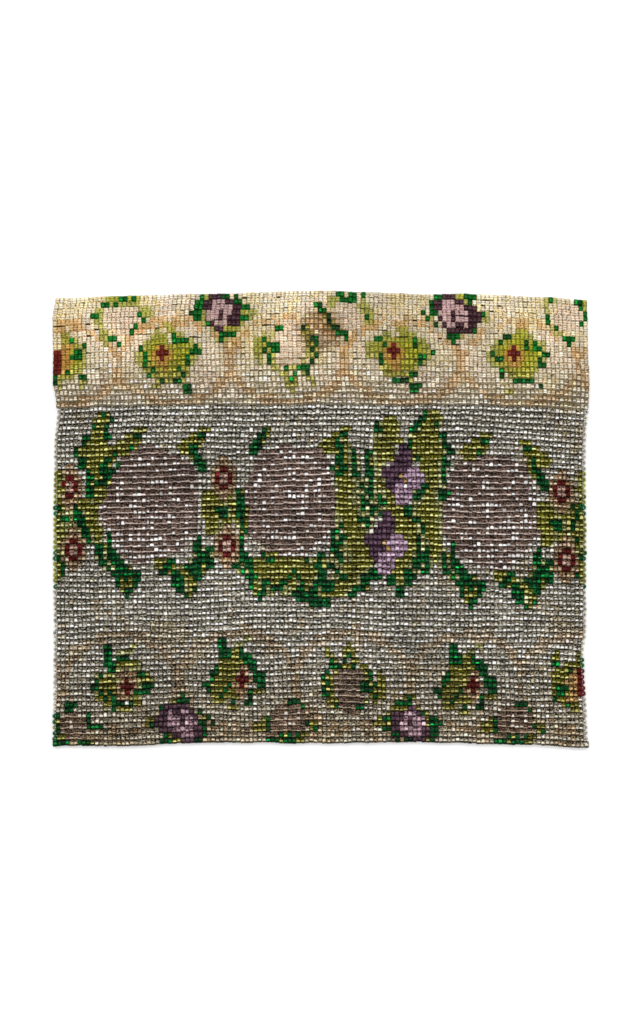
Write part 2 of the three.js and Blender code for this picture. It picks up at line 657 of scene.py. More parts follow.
# The middle band: roses, ring flowers and pansies in a wreath of leaves.
ROSES = (
    # column, row
    (22.6, 42.0),
    (55.6, 42.3),
    (102.0, 40.5),
)
ROSE_COLUMNS = 11.6
ROSE_ROWS = 10.1
ROSE_LOBES = 5
ROSE_LOBE_DEPTH = 0.04
ROSE_WHITE = 0.17
PETAL_TURNS = 3
PETAL_SHARPNESS = 3
PETAL_WHITE = 0.48
RIM_REACH = (0.6, 1.0)
RIM_LOWNESS = (0.3, 0.9)
RIM_WHITE = 0.4
WREATH = (
    # motif, column and row of its middle bead, 1 or -1 for mirrored
    (LEAF_UPRIGHT, 10, 51, 1),
    (LEAF_MASS, 86, 51, 1),
    (LEAF_CAP, 18, 53, 1),
    (LEAF_CAP, 33, 53, 1),
    (LEAF_CAP, 66, 53, 1),
    (LEAF_CAP, 99, 52, 1),
    (LEAF_CAP, 112, 51, -1),
    (LEAF_TUFT, 1, 32, 1),
    (LEAF_TUFT, 123, 32, -1),
    (LEAF_SPRAY, 15, 32, 1),
    (LEAF_SWAG, 31, 31, 1),
    (LEAF_SPRAY, 46, 31, 1),
    (LEAF_SPRAY, 95, 30, 1),
    (LEAF_SWAG, 110, 29, 1),
    (LEAF_BASE, 55, 30, 1),
    (LEAF_BETWEEN, 5, 40, 1),
    (LEAF_TUCK, 40, 41, 1),
    (LEAF_TUCK, 118, 39, 1),
    (LEAF_TWIG, 123, 39, -1),
    (LEAF_TUFT, 124, 45, -1),
    (LEAF_SPRIG, 70, 50, 1),
    (LEAF_SIDE, 69, 36, 1),
    (LEAF_STEM, 84, 37, 1),
    (LEAF_TWIG, 33, 50, -1),
    (LEAF_TWIG, 48, 53, 1),
    (LEAF_TWIG, 113, 47, -1),
    (RING_FLOWER, 3, 45, 1),
    (RING_FLOWER, 4, 34, 1),
    (RING_FLOWER, 39, 46, 1),
    (RING_FLOWER, 40, 34, 1),
    (RING_FLOWER, 118, 44, 1),
    (RING_FLOWER, 119, 32, 1),
    (WREATH_PANSY, 81, 47, 1),
    (WREATH_PANSY, 77, 35, 1),
    (LEAF_EDGE, 0, 38, 1),
    (LEAF_EDGE, COLUMNS - 1, 38, -1),
)


def soft_noise(across, up, cells):
    """Smooth random values from -1 to 1 over the rows and columns of the weave."""
    cell_across, cell_up = cells
    coarse = rng.uniform(-1, 1, (ROWS // cell_up + SPARE_CELLS, COLUMNS // cell_across + SPARE_CELLS))
    column = across / cell_across
    row = up / cell_up
    c = column.astype(int)
    r = row.astype(int)
    fc = ease(0, 1, column - c)
    fr = ease(0, 1, row - r)
    low = coarse[r, c] * (1 - fc) + coarse[r, c + 1] * fc
    high = coarse[r + 1, c] * (1 - fc) + coarse[r + 1, c + 1] * fc
    return low * (1 - fr) + high * fr


def stamp(chart, drawn, column, row, across=1):
    """Draws a motif with its middle bead at a column and row, mirrored where across is -1."""
    lines, middle_across, middle_down = drawn
    for down, line in enumerate(lines):
        r = row + middle_down - down
        for place, letter in enumerate(line):
            c = column + across * (place - middle_across)
            if letter != "." and 0 <= c < COLUMNS and 0 <= r < chart.shape[0]:
                chart[r, c] = letter


def turned(drawn):
    """A motif turned half round."""
    lines, across, down = drawn
    wide = max(len(line) for line in lines)
    half_round = [line.ljust(wide, ".")[::-1] for line in reversed(lines)]
    return half_round, wide - 1 - across, len(lines) - 1 - down


def draw_garland(chart, ring_half_rows):
    """Rings, one round each border flower and fainter above it, with amber patches beyond them."""
    row, column = (a.ravel() for a in np.indices(chart.shape))
    patch = ease(-AMBER_EDGE, AMBER_EDGE, soft_noise(column, row, AMBER_CELLS))
    up = (row - RING_LOW_ROW) / ring_half_rows - 1
    across = (column[:, None] - np.array(RING_COLUMNS)) / RING_HALF_COLUMNS
    reach = np.hypot(across, up[:, None]).min(1)
    line = RING_HALF_LINE * (1 + np.abs(up)) + rng.uniform(*RING_LINE_JITTER, len(row))
    kept = (up < FAINT_RING_FROM) | (rng.random(len(row)) < FAINT_RING_SHARE)
    ring = (np.abs(reach - 1) < line) & kept
    amber = (reach > 1) & (up > 0) & (rng.random(len(row)) < AMBER_SHARE * patch)
    chart[row[amber], column[amber]] = "a"
    chart[row[ring], column[ring]] = "n"


def draw_rose(chart, column, row):
    """A round mauve rose with white beads along the turns of its petals."""
    phase = rng.uniform(0, 2 * math.pi)
    for r in range(chart.shape[0]):
        for c in range(COLUMNS):
            across = (c - column) / ROSE_COLUMNS
            up = (r - row) / ROSE_ROWS
            reach = math.hypot(across, up)
            angle = math.atan2(up, across)
            if reach < 1 + ROSE_LOBE_DEPTH * math.cos(ROSE_LOBES * angle + phase):
                petal = 0.5 + 0.5 * math.cos(2 * math.pi * PETAL_TURNS * reach + angle + phase)
                low_rim = ease(*RIM_REACH, reach) * ease(*RIM_LOWNESS, -math.sin(angle))
                white = ROSE_WHITE + PETAL_WHITE * petal**PETAL_SHARPNESS + RIM_WHITE * low_rim
                chart[r, c] = "s" if rng.random() < white else "m"


def tint_crystals(chart):
    """Honey and rosy beads in soft patches among the crystal ones."""
    row, column = (a.ravel() for a in np.indices(chart.shape))
    patch = soft_noise(column, row, TINT_CELLS) + rng.normal(0, TINT_JITTER, len(row))
    crystal = chart.ravel() == "c"
    border = (row < BORDER_ROWS) | (row > HONEY_FLAP_ROW)
    honey = crystal & (patch > HONEY_FROM - BORDER_HONEY * border)
    rosy = crystal & (patch < ROSY_BELOW) & (row > PANEL_ROWS)
    chart[row[honey], column[honey]] = "h"
    chart[row[rosy], column[rosy]] = "q"


def border_chart(ring_half_rows):
    """What the flap's border and the bottom one have in common."""
    chart = np.full((BORDER_ROWS, COLUMNS), "c")
    draw_garland(chart, ring_half_rows)
    stamp(chart, EDGE_FLOWER, 0, FLOWER_ROW)
    stamp(chart, BORDER_BUD, BUD_COLUMN, FLOWER_ROW)
    return chart


def clutch_chart():
    """The letter of every bead, by row from the bottom fold and by column. The bottom border is the
    flap's turned half round, but for some flowers."""
    chart = np.full((ROWS, COLUMNS), "c")
    chart[:BORDER_ROWS] = border_chart(FOLD_RING_HALF_ROWS)[::-1, ::-1]
    chart[-BORDER_ROWS:] = border_chart(FLAP_RING_HALF_ROWS)
    for drawn, column, row in FLAP_MOTIFS:
        stamp(chart, drawn, column, ROWS - BORDER_ROWS + row)
    for drawn, column, row, way in FOLD_MOTIFS:
        stamp(chart, drawn if way > 0 else turned(drawn), column, row)
    for rose in ROSES:
        draw_rose(chart, *rose)
    for drawn, column, row, across in WREATH:
        stamp(chart, drawn, column, row, across)
    tint_crystals(chart)
    return chart


# Each glass over the dark inside of the pouch: the bead's flank and its painted highlight, the gleam, as
# sRGB, the gleam's height and length on the bead, and how much painted shade darkens the bead towards the
# next rows and at its ends.
POUCH_GLASS = {
    # letter: flank, gleam, tall, long, side shade, end shade
    "c": ((103, 98, 86), (254, 251, 243), 0.34, 0.31, 0.94, 0.00),
    "o": ((64, 62, 8), (220, 216, 132), 0.28, 0.40, 0.90, 0.00),
    "k": ((84, 84, 46), (222, 220, 170), 0.34, 0.31, 0.90, 0.00),
    "g": ((2, 42, 17), (8, 112, 46), 0.30, 0.34, 0.50, 0.00),
    "r": ((60, 12, 11), (98, 30, 27), 0.44, 0.30, 0.40, 0.00),
    "p": ((94, 73, 50), (222, 199, 168), 0.34, 0.31, 0.90, 0.00),
    "n": ((101, 86, 66), (241, 227, 204), 0.34, 0.31, 0.90, 0.00),
    "h": ((104, 94, 74), (250, 240, 220), 0.34, 0.31, 0.92, 0.00),
    "a": ((97, 85, 66), (236, 219, 190), 0.34, 0.31, 0.92, 0.00),
    "q": ((106, 98, 88), (248, 240, 232), 0.40, 0.31, 0.80, 0.00),
    "b": ((80, 66, 55), (206, 189, 174), 0.17, 3.00, 0.74, 0.00),
    "m": ((81, 66, 58), (208, 188, 178), 0.17, 3.00, 0.74, 0.00),
    "s": ((85, 70, 62), (255, 253, 250), 0.44, 0.40, 0.74, 0.00),
    "v": ((48, 31, 42), (96, 72, 88), 0.60, 0.30, 0.40, 0.00),
    "l": ((112, 88, 104), (210, 184, 204), 0.46, 0.38, 0.50, 0.00),
    "t": ((104, 79, 46), (208, 174, 118), 0.36, 0.34, 0.80, 0.00),
    "w": ((110, 84, 72), (212, 182, 166), 0.34, 0.34, 0.80, 0.00),
}
# The same where light comes through the single layer of the flap.
BACKLIT_FLAP_GLASS = {
    "c": ((192, 178, 146), (248, 241, 224), 1.10, 0.24, 0.10, 0.60),
    "o": ((120, 128, 0), (190, 191, 8), 1.00, 0.17, 0.15, 0.55),
    "k": ((186, 186, 90), (236, 232, 168), 1.00, 0.22, 0.15, 0.60),
    "g": ((1, 66, 16), (6, 116, 36), 0.70, 0.22, 0.00, 0.00),
    "r": ((84, 22, 14), (120, 44, 34), 0.70, 0.22, 0.00, 0.00),
    "p": ((196, 142, 76), (238, 198, 138), 1.10, 0.24, 0.10, 0.60),
    "n": ((180, 132, 70), (224, 184, 122), 1.10, 0.24, 0.10, 0.60),
    "h": ((210, 190, 138), (253, 243, 214), 1.10, 0.24, 0.10, 0.60),
    "a": ((200, 177, 124), (249, 234, 194), 1.10, 0.24, 0.10, 0.60),
    "q": ((214, 192, 166), (254, 244, 232), 1.10, 0.24, 0.10, 0.60),
    "b": ((192, 168, 142), (244, 228, 208), 1.10, 0.24, 0.10, 0.60),
    "m": ((188, 160, 168), (220, 198, 206), 1.00, 0.22, 0.10, 0.60),
    "s": ((206, 199, 180), (252, 249, 244), 1.10, 0.24, 0.10, 0.60),
    "v": ((54, 30, 36), (90, 62, 68), 0.70, 0.22, 0.00, 0.10),
    "l": ((172, 136, 136), (214, 186, 186), 1.00, 0.20, 0.10, 0.50),
    "t": ((164, 114, 42), (208, 160, 76), 1.00, 0.22, 0.10, 0.60),
    "w": ((220, 214, 202), (252, 249, 244), 1.10, 0.24, 0.10, 0.60),
}

# Glasses that keep their colour to themselves, and how painted light through the others spreads their
# colours.
DEEP_GLASSES = "grv"
BLEED_BEADS = 1.2
BLEED_REACH = 3
BLEED_SHARE = 0.44
LEAST_WEIGHT = 1e-6

# The glass of the laced edge beads, as sRGB, by the letter of the bead beside them.
EDGE_GLASS = {
    "c": (200, 194, 180),
    "o": (146, 148, 56),
    "k": (168, 166, 104),
    "g": (22, 98, 44),
    "r": (110, 34, 30),
}

# The light through the flap, painted into the beads' colours, by share of the way from the mouth to the free
# edge, and what tints it: warmer near the mouth, and the snap's painted shadow.
LEAST_LIGHT = 0.09
LIGHT_RISE = (-0.09, 0.70)
MOUTH_LIGHT_TINT = (0.99, 0.95, 0.87)
MOUTH_TINT_FADE = (0.2, 0.9)
SNAP_SHADOW_TINT = (0.77, 0.65, 0.49)
SNAP_SHADE = 0.6
SNAP_SHADE_INSIDE = 0.85 * SNAP_RADIUS
SNAP_SHADE_OUTSIDE = 1.4 * SNAP_RADIUS

# Painted shade: the pouch is darker and browner near the bottom fold, where its beads lie more on their
# sides.
FOLD_SHADE_TINT = (0.86, 0.79, 0.68)
FOLD_SHADE_LENGTH = 0.045

# The paint of a bead, with its painted highlight (the gleam) and painted shade. Places on it run from 0 on
# its top to 1 at its sides, below 0 on the side towards the flap, and from 0 at its middle to 1 at its ends.
GLASS_TONE = 0.88
GLEAM_FOOT = 0.22
GLEAM_EDGE = 0.08
GLEAM_NARROWING = 0.5
SIDE_LIGHT_FROM = 0.3
# The thread's painted shadow inside each bead: where it lies on the bead, and its tint.
THREAD_SHADOW_DOWN = -0.08
THREAD_SHADOW_TINT = (0.48, 0.40, 0.29, 1.0)
POUCH_SHADE = (0.004, 0.0035, 0.003, 1.0)
FLAP_SHADE = (0.20, 0.16, 0.105, 1.0)
GRAIN_SCALE = 1900.0
GRAIN_DETAIL = 1.0
BLOT_SCALE = 1300.0
BLOT_DETAIL = 0.0
FADES = {
    # name: low, high, value at low, value at high
    "ripple": (0.3, 0.7, -0.16, 0.16),
    "speck": (0.40, 0.60, 0.2, 1.0),
    "gleam side": (-GLEAM_EDGE, GLEAM_EDGE, 1.0, 0.0),
    "gleam foot": (GLEAM_FOOT - GLEAM_EDGE, GLEAM_FOOT + GLEAM_EDGE, 1.0, 0.0),
    "gleam top": (0.8, 1.15, 1.0, 0.0),
    "mottle": (0.42, 0.62, 0.05, 2.8),
    "under gleam": (GLEAM_FOOT + GLEAM_EDGE, GLEAM_FOOT + 0.2, 0.0, 1.0),
    "next row": (GLEAM_FOOT + 0.35, GLEAM_FOOT + 0.6, 1.0, 0.35),
    "ends": (0.40, 0.75, 0.0, 1.0),
    "thread_shadow": (0.06, 0.13, 1.0, 0.0),
    "shadow_dash": (0.32, 0.44, 0.0, 1.0),
    "glass roughness": (0.25, 0.75, 0.12, 0.30),
    "thread tone": (0.3, 0.7, 0.75, 1.1),
    "worn brass": (0.42, 0.66, 0.0, 1.0),
    "brass roughness": (0.0, 1.0, 0.52, 0.3),
}
GLASSES = {
    # name: shade, side light, mottle, thread shadow, gloss
    "pouch_glass": (POUCH_SHADE, 1.3, 1.0, 0.0, 0.08),
    "backlit_flap_glass": (FLAP_SHADE, 1.4, 0.5, 0.85, 0.08),
    "edge_glass": (POUCH_SHADE, 1.0, 0.35, 0.0, 0.3),
}

# The threads, about two to three beads, and the snap's brass; the flap's threads are painted pale by the
# light that comes through them. A wave texture of scale 1 turns by 20 radians in each metre.
POUCH_THREAD = ((26, 22, 18), (58, 50, 42))
BACKLIT_FLAP_THREAD = ((150, 140, 122), (226, 218, 200))
WAVE_RADIANS = 20
RADIANS_A_BEAD = 4
THREAD_WAVES = RADIANS_A_BEAD / (WAVE_RADIANS * COLUMN_PITCH)
THREAD_WANDER = 1.5
THREAD_TONE_SCALE = 600.0
THREAD_TONE_DETAIL = 2.0
THREAD_RELIEF = 0.0001
THREAD_RELIEF_STRENGTH = 0.6
THREAD_ROUGHNESS = 0.75
THREAD_GLOSS = 0.2
DULL_BRASS = (104, 86, 60)
BRIGHT_BRASS = (176, 148, 98)
BRASS_WEAR_SCALE = 420.0
BRASS_WEAR_DETAIL = 6.0
BRASS_RELIEF = 0.00005
BRASS_RELIEF_STRENGTH = 0.5

# The studio.
WHITE = (1.0, 1.0, 1.0, 1.0)
FLOOR_HALF = 4.0
FLOOR_PAPER = {
    "Base Color": (0.93, 0.93, 0.93, 1.0),
    "Roughness": 0.9,
    "Specular IOR Level": 0.0,
    "Emission Color": WHITE,
    "Emission Strength": 0.2,
}
WORLD_LIGHT = 0.38
SOFTBOX_WIDTH = 1.6
SOFTBOX_DEPTH = 1.2
SOFTBOX_POWER = 26.0
SOFTBOX_PLACE = (0.0, 0.35, 1.7)
SOFTBOX_TILT = -0.2
CAMERA_LENS = 100.0
CAMERA_SENSOR = 36.0
CAMERA_PLACE = (-0.0004, 0.003, 1.131)

# The mix node's factor and colour inputs, and its colour output.
MIX_INPUTS = (0, 6, 7)
MIX_OUTPUT = 2


def linear(srgb):
    """sRGB from 0 to 255 as the linear colour that a shader takes."""
    c = np.asarray(srgb, float) / 255
    return np.where(c <= 0.04045, c / 12.92, ((c + 0.055) / 1.055) ** 2.4)


def glass_of(letters, palette):
    """Flank colour with its side shade, gleam colour with its end shade, and the gleam's height and
    length."""
    flat = letters.ravel()
    flank = linear([palette[x][0] for x in flat])
    gleam = linear([palette[x][1] for x in flat])
    shape = np.array([palette[x][2:4] for x in flat])
    painted_side_shade = np.array([palette[x][4:5] for x in flat])
    painted_end_shade = np.array([palette[x][5:6] for x in flat])
    fields = (np.hstack([flank, painted_side_shade]), np.hstack([gleam, painted_end_shade]), shape)
    return [field.reshape(*letters.shape, -1) for field in fields]


def bleed_light(colours, clear):
    """Painted light that spreads each bead's colour to its neighbours through clear glass."""
    reach = np.arange(-BLEED_REACH, BLEED_REACH + 1)
    kernel = np.exp(-0.5 * (reach / BLEED_BEADS) ** 2)
    weight = clear.astype(float)[..., None]
    spread = np.concatenate([colours * weight, weight], 2)
    for axis in (0, 1):
        spread = np.apply_along_axis(np.convolve, axis, spread, kernel, "same")
    mixed = spread[..., :-1] / np.maximum(spread[..., -1:], LEAST_WEIGHT)
    share = BLEED_SHARE * weight
    return colours * (1 - share) + mixed * share


def add_object(name, data):
    thing = bpy.data.objects.new(name, data)
    bpy.context.scene.collection.objects.link(thing)
    return thing


def bead_mesh(name, sides, profile, half_length, closed_loop):
    """A bead turned about X from its profile, with a map that runs once round the bead and from end to
    end. The map's middle line faces up."""
    rings = len(profile)
    verts = []
    for along, share in profile:
        radius = share * BEAD_RADIUS
        for k in range(sides):
            angle = 2 * math.pi * (k / sides - 0.5)
            verts.append((along * half_length, -radius * math.sin(angle), radius * math.cos(angle)))
    faces = []
    places = []
    bands = rings if closed_loop else rings - 1
    for i in range(bands):
        j = (i + 1) % rings
        for k in range(sides):
            n = (k + 1) % sides
            faces.append((i * sides + k, i * sides + n, j * sides + n, j * sides + k))
            low, high = (i + 0.5) / (bands + 1), (i + 1.5) / (bands + 1)
            places += [(k / sides, low), ((k + 1) / sides, low), ((k + 1) / sides, high), (k / sides, high)]
    caps = 0
    if not closed_loop:
        caps = 2
        inset = [CAP_MARGIN + CAP_ZIGZAG * (k % 2) for k in range(sides)]
        faces.append(tuple(reversed(range(sides))))
        places += [((k + 0.5) / sides, inset[k]) for k in reversed(range(sides))]
        faces.append(tuple(range((rings - 1) * sides, rings * sides)))
        places += [((k + 0.5) / sides, 1 - inset[k]) for k in range(sides)]
    mesh = bpy.data.meshes.new(name)
    mesh.from_pydata(verts, [], faces)
    mesh.uv_layers.new(name="bead_map")
    mesh.uv_layers["bead_map"].uv.foreach_set("vector", np.array(places, np.float32).ravel())
    smooth = [True] * (len(faces) - caps) + [False] * caps
    mesh.polygons.foreach_set("use_smooth", smooth)
    mesh.update()
    return add_object(name, mesh)


def link(start, end):
    end.id_data.links.new(start, end)


def set_inputs(node, values):
    for name, value in values.items():
        node.inputs[name].default_value = value


def add_sockets(tree, way, kinds):
    for name, kind in kinds.items():
        tree.interface.new_socket(name, in_out=way, socket_type="NodeSocket" + kind)


def string_beads_tree():
    """Puts a bead on every point, turned and sized as the point says, and gives each bead a cell of its
    own in the map that the colours are kept in."""
    tree = bpy.data.node_groups.new("string_beads", "GeometryNodeTree")
    inputs = {"Points": "Geometry", "Bead": "Object", "Glass": "Material", "Cells": "Float"}
    add_sockets(tree, "INPUT", inputs)
    add_sockets(tree, "OUTPUT", {"Beads": "Geometry"})
    nodes = tree.nodes
    start = nodes.new("NodeGroupInput")
    end = nodes.new("NodeGroupOutput")
    bead = nodes.new("GeometryNodeObjectInfo")
    carried = {}
    for name in ("turn", "size", "cell", "bead_map"):
        carried[name] = nodes.new("GeometryNodeInputNamedAttribute")
        carried[name].data_type = "FLOAT_VECTOR"
        carried[name].inputs["Name"].default_value = name
    turn = nodes.new("FunctionNodeEulerToRotation")
    place = nodes.new("GeometryNodeInstanceOnPoints")
    realize = nodes.new("GeometryNodeRealizeInstances")
    shift = nodes.new("ShaderNodeVectorMath")
    shift.operation = "ADD"
    shrink = nodes.new("ShaderNodeVectorMath")
    shrink.operation = "DIVIDE"
    store = nodes.new("GeometryNodeStoreNamedAttribute")
    store.data_type = "FLOAT2"
    store.domain = "CORNER"
    store.inputs["Name"].default_value = "OFBake"
    dress = nodes.new("GeometryNodeSetMaterial")
    wires = (
        # from a node's output to a node's input
        (start, "Bead", bead, "Object"),
        (start, "Points", place, "Points"),
        (bead, "Geometry", place, "Instance"),
        (carried["turn"], "Attribute", turn, "Euler"),
        (turn, "Rotation", place, "Rotation"),
        (carried["size"], "Attribute", place, "Scale"),
        (place, "Instances", realize, "Geometry"),
        (carried["bead_map"], "Attribute", shift, 0),
        (carried["cell"], "Attribute", shift, 1),
        (shift, "Vector", shrink, 0),
        (start, "Cells", shrink, 1),
        (realize, "Geometry", store, "Geometry"),
        (shrink, "Vector", store, "Value"),
        (store, "Geometry", dress, "Geometry"),
        (start, "Glass", dress, "Material"),
        (dress, "Geometry", end, "Beads"),
    )
    for giver, output, taker, socket in wires:
        link(giver.outputs[output], taker.inputs[socket])
    return tree


def add_attribute(mesh, name, kind, values):
    field = {"FLOAT_COLOR": "color", "FLOAT_VECTOR": "vector"}[kind]
    attribute = mesh.attributes.new(name, kind, "POINT")
    attribute.data.foreach_set(field, np.asarray(values, np.float32).ravel())


def string_beads(name, tree, bead, glass, beads):
    """One mesh of many beads. beads holds, for each: place, turn, size, flank, gleam and shape."""
    count = len(beads["place"])
    side = math.ceil(math.sqrt(count))
    order = np.arange(count)
    cell = np.stack([order % side, order // side, np.zeros(count)], 1)
    points = bpy.data.meshes.new(name + "_points")
    points.vertices.add(count)
    points.vertices.foreach_set("co", np.asarray(beads["place"], np.float32).ravel())
    for field in ("turn", "size", "shape"):
        add_attribute(points, field, "FLOAT_VECTOR", beads[field])
    add_attribute(points, "cell", "FLOAT_VECTOR", cell)
    for field in ("flank", "gleam"):
        add_attribute(points, field, "FLOAT_COLOR", beads[field])
    carrier = add_object(name + "_points", points)
    modifier = carrier.modifiers.new("string_beads", "NODES")
    modifier.node_group = tree
    values = {"Bead": bead, "Glass": glass, "Cells": float(side)}
    for item in tree.interface.items_tree:
        if item.in_out == "INPUT" and item.name in values:
            modifier[item.identifier] = values[item.name]
    depsgraph = bpy.context.evaluated_depsgraph_get()
    strung = carrier.evaluated_get(depsgraph)
    mesh = bpy.data.meshes.new_from_object(strung, preserve_all_data_layers=True, depsgraph=depsgraph)
    mesh.name = name
    for spare in ("turn", "size", "cell"):
        mesh.attributes.remove(mesh.attributes[spare])
    piece = add_object(name, mesh)
    bpy.data.objects.remove(carrier)
    bpy.data.meshes.remove(points)
    return piece


def lay_rows(rows, columns, middle, outward, light):
    """Beads of whole rows on a wall whose middle height is a function of x and along. outward is 1 for
    a wall that faces up and -1 for one that faces down. light gives how much comes through and its
    painted tint and shade."""
    row, column = (a.ravel() for a in np.meshgrid(rows, columns, indexing="ij"))
    count = len(row)
    along = (row + 0.5) * ROW_PITCH
    left, right = left_edge(along), right_edge(along)
    x = left + (right - left) * (column + 0.5) / COLUMNS
    slope_x = (middle(x + SLOPE_STEP, along) - middle(x - SLOPE_STEP, along)) / (2 * SLOPE_STEP)
    slope_y = (middle(x, along + SLOPE_STEP) - middle(x, along - SLOPE_STEP)) / (2 * SLOPE_STEP)
    arch = -2 * ROW_ARCH * x / HALF_WIDTH**2
    lift = ROW_WAVE * row_wave[row, column]
    sway = COLUMN_WAVE * column_wave[row, column]
    place = np.stack([x + sway, row_y(x, along) + lift, middle(x, along)], 1)
    place += rng.normal(0, PLACE_JITTER, (count, 3))
    turn = np.stack([np.arctan(slope_y), -np.arctan(slope_x), np.arctan(arch)], 1)
    turn += rng.normal(0, TURN_JITTER, (count, 3))
    turn[:, 0] += 0 if outward > 0 else math.pi
    drawn = column if outward > 0 else COLUMNS - 1 - column
    through, tint = light(x, along)
    fields = []
    for dark, lit in zip(pouch_look, backlit_flap_look):
        fields.append(dark[row, drawn] + (lit[row, drawn] - dark[row, drawn]) * through)
    flank, gleam, shape = fields
    # The painted tint and shade that light gives: the fold's shade, the flap's warmth near the mouth and the
    # snap's shadow.
    flank[:, :3] *= tint
    gleam[:, :3] *= tint
    shape *= np.exp(rng.normal(0, GLEAM_SHAPE_JITTER, (count, 2)))
    size = rng.normal(1, SIZE_JITTER, (count, 3))
    size[:, 1] += POUCH_FILL + (FLAP_FILL - POUCH_FILL) * through[:, 0]
    place[:, 2] = np.maximum(place[:, 2], size[:, 2] * BEAD_RADIUS)
    # Soft patches of painted sheen and shade over the beads.
    sheen_and_shade = PAINTED_SHEEN_AND_SHADE * soft_noise(column, row, PAINTED_SHEEN_AND_SHADE_CELLS)[:, None]
    emerald = (chart[row, drawn] == "g")[:, None]
    uneven = UNEVEN - LESS_UNEVEN_LIT * through + MORE_UNEVEN_EMERALD * emerald
    flank[:, :3] *= GLASS_TONE * np.exp(sheen_and_shade + uneven * rng.normal(size=(count, 1)))
    gleam[:, :3] *= GLASS_TONE * np.exp(sheen_and_shade + GLEAM_UNEVEN * uneven * rng.normal(size=(count, 1)))
    # Short painted shadows between the rows on some beads, where light comes through.
    shadow_dash = (soft_noise(column, row, SHADOW_DASH_CELLS) > SHADOW_DASH_FROM) * through[:, 0]
    return {
        "place": place,
        "turn": turn,
        "size": size,
        "flank": np.clip(flank, 0, 1),
        "gleam": np.clip(gleam, 0, 1),
        "shape": np.hstack([shape, shadow_dash[:, None]]),
    }


def no_light(x, along):
    """No light comes through the pouch. Its beads are painted darker and browner towards the bottom fold, as
    shade.
    """
    near = 1 - ease(0, FOLD_SHADE_LENGTH, along)[:, None]
    return np.zeros((len(x), 1)), 1 - near * (1 - np.array(FOLD_SHADE_TINT))


def light_through_flap(x, along):
    """Painted light through the flap: more comes through towards the free edge, warmer near the mouth, and
    little over the snap, where the snap's shadow is painted.
    """
    out = (along - PANEL_LENGTH) / FLAP_LENGTH
    snap = np.hypot(x, along - PANEL_LENGTH - SNAP_FROM_MOUTH)
    shade = 1 - ease(SNAP_SHADE_INSIDE, SNAP_SHADE_OUTSIDE, snap)[:, None]
    through = LEAST_LIGHT + (1 - LEAST_LIGHT) * ease(*LIGHT_RISE, out)[:, None]
    near = 1 - ease(*MOUTH_TINT_FADE, out)[:, None]
    tint = (1 - shade * (1 - np.array(SNAP_SHADOW_TINT))) * (1 - near * (1 - np.array(MOUTH_LIGHT_TINT)))
    return through * (1 - SNAP_SHADE * shade), tint


def edge_beads(side):
    """Beads laced over the side edge, two to a row, with their holes upright."""
    row, level = (a.ravel() for a in np.meshgrid(np.arange(PANEL_ROWS), range(EDGE_BEADS), indexing="ij"))
    count = len(row)
    along = (row + 0.5) * ROW_PITCH
    edge = left_edge(along) if side < 0 else right_edge(along)
    x = edge - side * EDGE_DEPTH / 2
    z = EDGE_HEIGHT * (level + 0.5) / EDGE_BEADS
    place = np.stack([x, row_y(x, along), z], 1) + rng.normal(0, EDGE_PLACE_JITTER, (count, 3))
    turn = np.stack([np.zeros(count), np.full(count, -math.pi / 2), np.zeros(count)], 1)
    turn += rng.normal(0, EDGE_TURN_JITTER, (count, 3))
    size = rng.normal(1, EDGE_SIZE_JITTER, (count, 3))
    letters = chart[row, 0 if side < 0 else COLUMNS - 1]
    colour = linear([EDGE_GLASS.get(x, EDGE_GLASS["c"]) for x in letters])
    colour = np.clip(GLASS_TONE * colour * np.exp(rng.normal(0, EDGE_UNEVEN, (count, 1))), 0, 1)
    plain = np.hstack([colour, np.zeros((count, 1))])
    return {
        "place": place,
        "turn": turn,
        "size": size,
        "flank": plain,
        "gleam": plain,
        "shape": np.zeros((count, 3)),
    }


def thread_sheet(name, first_along, last_along, margin, middle, material):
    """The threads that carry a wall's beads, as one thin closed sheet in the middle of the wall."""
    up, wide = SHEET_STEPS_UP, SHEET_STEPS_ACROSS + 1
    along = np.linspace(first_along, last_along, up + 1)[:, None]
    share = np.linspace(0, 1, wide)[None, :]
    x = (left_edge(along) + margin) * (1 - share) + (right_edge(along) - margin) * share
    along = np.broadcast_to(along, x.shape)
    place = np.stack([x, row_y(x, along), middle(x, along)], 2).reshape(-1, 3)
    half = np.array((0, 0, THREAD_SHEET / 2))
    count = len(place)
    faces = []
    for i in range(up):
        for j in range(wide - 1):
            a = i * wide + j
            quad = (a, a + 1, a + wide + 1, a + wide)
            faces.append(tuple(v + count for v in quad))
            faces.append(tuple(reversed(quad)))
    rim = list(range(wide - 1))
    rim += [i * wide + wide - 1 for i in range(up)]
    rim += [up * wide + j for j in range(wide - 1, 0, -1)]
    rim += [i * wide for i in range(up, 0, -1)]
    for a, b in zip(rim, rim[1:] + rim[:1]):
        faces.append((a, b, b + count, a + count))
    mesh = bpy.data.meshes.new(name)
    mesh.from_pydata(np.vstack([place - half, place + half]).tolist(), [], faces)
    mesh.polygons.foreach_set("use_smooth", [True] * len(faces))
    mesh.materials.append(material)
    mesh.update()
    return add_object(name, mesh)


def feed(socket, given):
    """Sets a socket to a constant, or links it."""
    if isinstance(given, (int, float, tuple)):
        socket.default_value = given
    else:
        link(given, socket)


def math_node(nodes, operation, first, second=0.0):
    node = nodes.new("ShaderNodeMath")
    node.operation = operation
    feed(node.inputs[0], first)
    feed(node.inputs[1], second)
    return node.outputs[0]


def fade(nodes, value, steps):
    """Smooth change of a value. steps are those of the FADES table."""
    node = nodes.new("ShaderNodeMapRange")
    node.interpolation_type = "SMOOTHSTEP"
    for socket, given in zip(node.inputs, (value, *steps)):
        feed(socket, given)
    return node.outputs[0]


